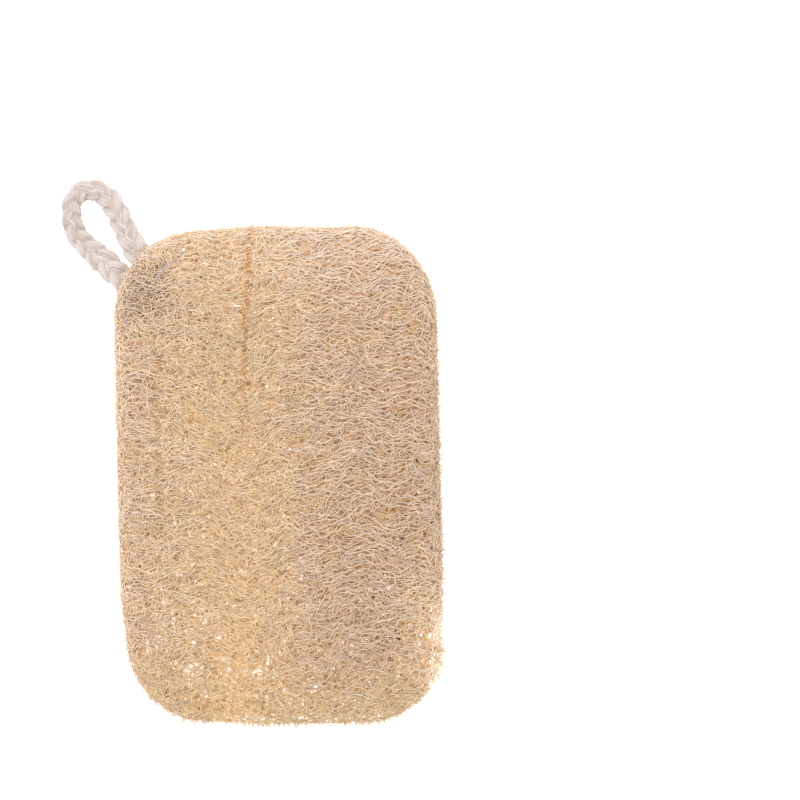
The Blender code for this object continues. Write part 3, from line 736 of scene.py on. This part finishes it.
def fibre_finish(name, pale, deep, glow, shade, lobe_tint):
    """Dried fibre: cream where it is bleached and amber where it is not, with pinkish-grey patches.

    glow is the strength of a painted glow that stands in for the light seeping through the fibres, and
    shade says how dark the painted shade in the gaps between its fibres is.
    """
    material, shader, husk = new_finish(
        name, roughness=0.7, Specular_IOR_Level=0.15, Emission_Strength=glow)
    place = husk.place()
    across = husk.node("ShaderNodeSeparateXYZ", {}, {"Vector": place}, out="X")
    along = husk.node("ShaderNodeSeparateXYZ", {}, {"Vector": place}, out="Y")
    tone = husk.tone()
    odd = husk.math("FRACT", tone * 17.3)
    streak = place.noise(420.0, detail=3.0)
    cloud = place.noise(42.0, detail=4.0, roughness=0.6)
    patch = place.noise(230.0, detail=3.0, roughness=0.7)
    mood = patch.ramp(0.36, 0.64)
    # Patches of painted light and shade: where this is high the gaps glow, and where it is low they get
    # painted shade.
    light_dapple = place.noise(480.0, roughness=0.6).ramp(0.38, 0.62)

    # Zones with ragged edges, from metres across and along the pad.
    ragged = across + (cloud - 0.5) * 0.035
    upper = along.ramp(0.000, 0.055)
    top_end = along.ramp(0.046, 0.076)
    left_side = 1 - across.ramp(-0.050, -0.042)
    foot = 1 - (along + (cloud - 0.5) * 0.03).ramp(-0.074, -0.050)
    right_rim = ragged.ramp(0.034, 0.048) * (1 - along.ramp(-0.052, -0.022))
    right = ragged.ramp(-0.004, 0.026) * (1 - upper * 0.65) * (1 - foot * 0.7) * (1 - right_rim)
    middle_band = ragged.ramp(-0.048, -0.018) * (1 - ragged.ramp(-0.012, 0.020)) * (1 - upper * 0.4)
    golden = middle_band.larger(right_rim * 0.8).larger(foot * 0.8)
    pale_streak = 1 - abs(across - PALE_STREAK_X).ramp(0.002, 0.009)
    pale_streak = pale_streak * (1 - along.ramp(-0.055, -0.028))
    stain = 1 - place.distance_to(STAIN).ramp(0.0012, 0.0034)
    # Painted shade round the seam's corner: its gaps are darker and glow less.
    seam_corner_shade = 1 - place.distance_to(SEAM_CORNER_SHADE).ramp(0.003, 0.014)

    # The creases, darkened with painted shade: the fold between the lobes, and a fainter one down the left
    # side.
    fold_line = across - along * FOLD_LEAN - (FOLD_X - FOLD_LEAN * FOLD_Y) * MM + (patch - 0.5) * 0.0062
    crease_shade = (1 - abs(fold_line).ramp(0.0003, 0.0014)) * along.ramp(0.004, 0.044)
    side_fold_shade = 1 - abs(across - SIDE_FOLD_X + (patch - 0.5) * 0.006).ramp(0.0004, 0.0019)
    side_fold_shade = side_fold_shade * along.ramp(-0.024, -0.012) * (1 - along.ramp(0.028, 0.044))

    body = (tone * 0.62 + streak * 0.38).ramp(0.12, 0.88).blend(deep, pale)
    tints = (
        (right, lobe_tint),
        (middle_band, (0.975, 0.937, 0.855)),
        (foot, (0.965, 0.95, 0.88)),
        (right_rim, (1.10, 1.11, 1.10)),
        (1 - golden, (1.0, 0.978, 0.99)),
        (top_end, (1.12, 1.17, 1.26)),
        (left_side, (1.07, 1.08, 1.10)),
        (mood, (1.02, 1.015, 0.96)),
        (1 - mood, (0.99, 0.99, 1.02)),
        (odd, (1.02, 1.01, 0.96)),
        (1 - odd, (1.01, 1.03, 1.13)),
        # Painted shade round the seam's corner, stronger on the deeper layers.
        (seam_corner_shade * (shade * 1.6), (0.80, 0.70, 0.62)),
        # Painted shade in the gaps, in patches.
        ((1 - light_dapple) * shade, (0.80, 0.77, 0.75)),
        (stain, (0.80, 0.88, 0.90)),
        (pale_streak, (1.09, 1.085, 1.07)),
        # Painted shade in the creases.
        (side_fold_shade * 0.7, (0.88, 0.80, 0.72)),
        (crease_shade * (patch.ramp(0.32, 0.62) * 0.55 + 0.35), (0.94, 0.73, 0.48)),
    )
    for share, tint in tints:
        body = body.tinted(share, tint)
    wear(shader, "Base Color", body)
    # Painted light: the fibres glow in patches, golden in the golden zones and dimmed round the seam's
    # corner.
    lit = (light_dapple * 0.85 + 0.15) * (1 - seam_corner_shade * 0.75)
    glow_colour = golden.blend((0.86, 0.62, 0.38, 1), (1.25, 0.96, 0.58, 1))
    wear(shader, "Emission Color", lit.blend((0, 0, 0, 1), glow_colour))
    return material


face_fibre = fibre_finish(
    "face_fibre", pale=(0.84, 0.68, 0.49, 1), deep=(0.79, 0.61, 0.42, 1), glow=0.08, shade=0.1,
    lobe_tint=(0.915, 0.905, 0.915))
# On the deeper layers the lobe tint is darker: amber fibre colour, with painted shade in the gaps of the
# right-hand lobe.
under_fibre = fibre_finish(
    "under_fibre", pale=(0.83, 0.65, 0.44, 1), deep=(0.76, 0.56, 0.36, 1), glow=0.20, shade=0.45,
    lobe_tint=(0.86, 0.80, 0.69))
inner_fibre = fibre_finish(
    "inner_fibre", pale=(0.82, 0.61, 0.39, 1), deep=(0.74, 0.51, 0.30, 1), glow=0.30, shade=0.4,
    lobe_tint=(0.90, 0.78, 0.54))


def dense(x, y):
    """Nearly every fibre, and a few fewer low down in the middle."""
    return net_rng.random(len(x)) < 0.98 - 0.16 * np.clip((10 - y) / 70, 0, 1) * bump(x, -12, 30)


def loose(x, y):
    """As dense, but down to half where the fibres run every way, which the tangles fill."""
    return dense(x, y) & (net_rng.random(len(x)) > 0.5 * wild_zone(x, y))


def thinner(x, y):
    """Most fibres, and fewer towards the lower end."""
    return net_rng.random(len(x)) < 0.96 - 0.20 * np.clip((30 - y) / 90, 0, 1)


def behind_lobe(x, y):
    """Fibres behind the right-hand lobe and the upper part, where little light comes through."""
    share = 0.75 * ridge_zone(x, y) + 0.30 * np.clip((y + 44) / 30, 0, 1)
    share = share + 0.40 * bump(x, 11, 7) * np.clip((y + 64) / 24, 0, 1)
    return net_rng.random(len(x)) < share * np.clip((46 - x) / 8, 0, 1)


lay("face_net", *eyes(spacing=0.81, wavelength=5.4, shift=0.0),
    depth=0.34, radius=0.195, side=FRONT, material=face_fibre, keep=loose, holes=open_eyes)
lay("face_tangle", *tangle(6900, points=8, step=1.0, spread=0.75, curl=0.55, shift=3.0),
    depth=0.42, radius=0.17, side=FRONT, material=face_fibre, keep=dense, weave=0.35, holes=open_eyes)
lay("under_net", *eyes(spacing=1.10, wavelength=6.3, shift=17.0, turn=0.18),
    depth=0.95, radius=0.24, side=FRONT, material=face_fibre, keep=loose, holes=open_eyes)
lay("under_tangle", *tangle(3300, points=8, step=1.45, spread=0.9, curl=0.5, shift=7.0),
    depth=1.45, radius=0.30, side=FRONT, material=under_fibre, keep=dense, weave=0.5, holes=deep_eyes)
lay("inner_tangle", *tangle(3200, points=6, step=3.0, spread=1.3, curl=0.3, shift=11.0),
    depth=3.6, radius=0.55, side=FRONT, material=inner_fibre, keep=thinner, weave=1.3, holes=see_through)
lay("lobe_tangle", *tangle(9000, points=5, step=2.4, spread=0.9, curl=0.3, shift=29.0),
    depth=2.5, radius=0.46, side=FRONT, material=inner_fibre, keep=behind_lobe, weave=0.7)
lay("back_tangle", *tangle(2000, points=8, step=1.7, spread=0.8, curl=0.5, shift=23.0),
    depth=1.1, radius=0.28, side=BACK, material=under_fibre, keep=thinner, weave=0.5, holes=see_through)
lay("back_net", *eyes(spacing=1.3, wavelength=6.0, shift=31.0, turn=-0.12),
    depth=0.35, radius=0.22, side=BACK, material=face_fibre, keep=thinner, holes=see_through)


# The trimmed rim. The pad was cut to shape with a blade, so short cut ends of its fibres stand out all
# round. They are longest at the lower right, where the rim has frayed.

STUB_TRIES = 24_000
STUB_POINTS = 5
STUB_RADIUS = 0.13


def stubs():
    """The cut ends, as lines in space."""
    x, y = net_rng.uniform(-PLAN_X, PLAN_X, STUB_TRIES), net_rng.uniform(-PLAN_Y, PLAN_Y, STUB_TRIES)
    _, _, way_x, way_y, past = unrolled(x, y)
    fluffy = frayed(x, y)
    on_rim = (past > 5.5 - 3 * fluffy) & (past < RIM_ARC + 0.3)
    on_rim &= net_rng.random(STUB_TRIES) < 0.45 + 0.25 * fluffy
    x, y, way_x, way_y, fluffy = x[on_rim], y[on_rim], way_x[on_rim], way_y[on_rim], fluffy[on_rim]
    t = np.linspace(0, 1, STUB_POINTS)
    aside = net_rng.normal(0, 0.7, len(x))[:, None] + net_rng.normal(0, 0.5, len(x))[:, None] * t
    aside = aside * (1 - 0.35 * fluffy)[:, None]
    reach = (net_rng.uniform(1.0, 2.6, len(x)) * (1 + 0.9 * fluffy))[:, None] * t
    line_x = x[:, None] + (way_x[:, None] * np.cos(aside) - way_y[:, None] * np.sin(aside)) * reach
    line_y = y[:, None] + (way_y[:, None] * np.cos(aside) + way_x[:, None] * np.sin(aside)) * reach
    poke = 0.15 + 0.75 * net_rng.random(len(x)) ** 1.5 + 1.3 * net_rng.random(len(x)) * fluffy
    depth = 0.6 - (0.6 + poke)[:, None] * t**1.3
    side = np.where(net_rng.random(len(x)) < 0.6, FRONT, BACK)[:, None]
    return on_pad(line_x, line_y, depth, side)


rim_stubs = stubs()
stub_girth = STUB_RADIUS * net_rng.uniform(0.8, 1.25, len(rim_stubs))
stub_radii = stub_girth[:, None] * np.linspace(1.1, 0.7, STUB_POINTS)
stub_piece = mesh_of_tubes(
    "rim_stubs", rim_stubs, stub_radii, FIBRE_SIDES, tones=net_rng.random(len(rim_stubs)),
    material=face_fibre, rolls=net_rng.uniform(0, 6, len(rim_stubs)))
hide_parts("loofah_pad")


# Dark scraps of seed skin, left over when the gourd was emptied. Four are caught in the face of the
# right-hand lobe.

SCRAPS = ((42.8, 3.7, -1.0), (37.8, -20.4, 0.1), (28.6, -38.2, 0.5), (37.1, -51.4, -0.2))
SCRAP_RADII = [0.12, 0.33, 0.42, 0.30, 0.10]
SCRAP_HALF_LENGTH = 0.6

seed_skin, skin_shader, skin_grain = new_finish("seed_skin", roughness=0.6)
skin_mottle = skin_grain.place().noise(1500.0)
wear(skin_shader, "Base Color", skin_mottle.blend((0.03, 0.015, 0.01, 1), (0.09, 0.05, 0.03, 1)))
scrap_reach = np.linspace(-SCRAP_HALF_LENGTH, SCRAP_HALF_LENGTH, len(SCRAP_RADII))
scrap_lines = np.array([
    on_pad(x + scrap_reach * math.cos(slant), y + scrap_reach * math.sin(slant), 0 * scrap_reach, FRONT)
    for x, y, slant in SCRAPS
])
scrap_radii = np.tile(SCRAP_RADII, (len(SCRAPS), 1))
scraps = mesh_of_tubes(
    "seed_scraps", scrap_lines, scrap_radii, sides=6, tones=np.full(len(SCRAPS), 0.5), material=seed_skin)
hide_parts("loofah_pad")


# The seam: lines of lock stitch in undyed cotton thread across the corner, over the cord's two buried
# ends. Three threads lie side by side on each face. They show in places and are sunk in the fibres
# elsewhere, and they end in a small pale knot.

SEAM_BOW = 1.1
THREADS_EACH_FACE = 3
THREAD_RADIUS = 0.105
THREAD_SPREAD = 0.45
THREAD_POINTS = 90
KNOT_RADII = [0.18, 0.42, 0.5, 0.4, 0.15]
KNOT_FROM, KNOT_TO = (-28.1, 70.6), (-27.7, 71.4)

thread_cotton, thread_shader, twist = new_finish("sewing_thread", roughness=0.8, Sheen_Weight=0.2)
# Paler and greyer along the thread: its own grain, with the paler spots as painted highlights.
thread_grain_and_glints = twist.place().noise(900.0)
wear(thread_shader, "Base Color", thread_grain_and_glints.blend((0.62, 0.53, 0.50, 1), (0.74, 0.65, 0.61, 1)))

seam_out = np.array([SEAM_END[1] - SEAM_START[1], SEAM_START[0] - SEAM_END[0]])
seam_out = seam_out / math.dist(SEAM_START, SEAM_END)
seam_share = np.linspace(0.0, 0.99, THREAD_POINTS)
seam_lines = []
for side in (FRONT, BACK):
    for strand in range(THREADS_EACH_FACE):
        slack = THREAD_SPREAD * (strand - 1) * (0.2 + bump(seam_share, 0.24, 0.15))
        slack = slack + 0.10 * np.sin(seam_share * 23 + 2.1 * strand)
        bow = SEAM_BOW * (1 - (2 * seam_share - 1) ** 2) + slack
        x = SEAM_START[0] + seam_share * (SEAM_END[0] - SEAM_START[0]) + seam_out[0] * bow
        y = SEAM_START[1] + seam_share * (SEAM_END[1] - SEAM_START[1]) + seam_out[1] * bow
        shown = bump(seam_share, 0.30, 0.17) + 0.6 * bump(seam_share, 0.66 + 0.05 * strand, 0.05)
        shown = shown + 0.6 * bump(seam_share, 0.90 + 0.02 * strand, 0.05)
        shown = shown + 0.6 * bump(seam_share, 0.02, 0.06)
        sunk = 0.9 - 1.1 * np.clip(shown, 0, 1) + 0.15 * np.sin(seam_share * 41 + 2 * strand)
        seam_lines.append(on_pad(x, y, sunk, side))
seam_lines = np.array(seam_lines)
thread_radii = np.full(seam_lines.shape[:2], THREAD_RADIUS)
seam = mesh_of_tubes(
    "seam_stitches", seam_lines, thread_radii, sides=6, tones=np.full(len(seam_lines), 0.5),
    material=thread_cotton)
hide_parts("seam_thread")

knot_white, knot_shader, knot_grain = new_finish("knot_end", roughness=0.6)
knot_mottle = knot_grain.node("ShaderNodeTexNoise", {}, {"Scale": 900.0})
wear(knot_shader, "Base Color", knot_mottle.blend((0.86, 0.84, 0.79, 1), (0.93, 0.92, 0.88, 1)))
knot_x, knot_y = (np.linspace(KNOT_FROM[i], KNOT_TO[i], len(KNOT_RADII)) for i in range(2))
knot_line = on_pad(knot_x, knot_y, 0 * knot_x, FRONT)[None]
knot = mesh_of_tubes(
    "thread_knot", knot_line, np.array([KNOT_RADII]), sides=10, tones=np.array([0.5]), material=knot_white)
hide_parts("seam_thread")
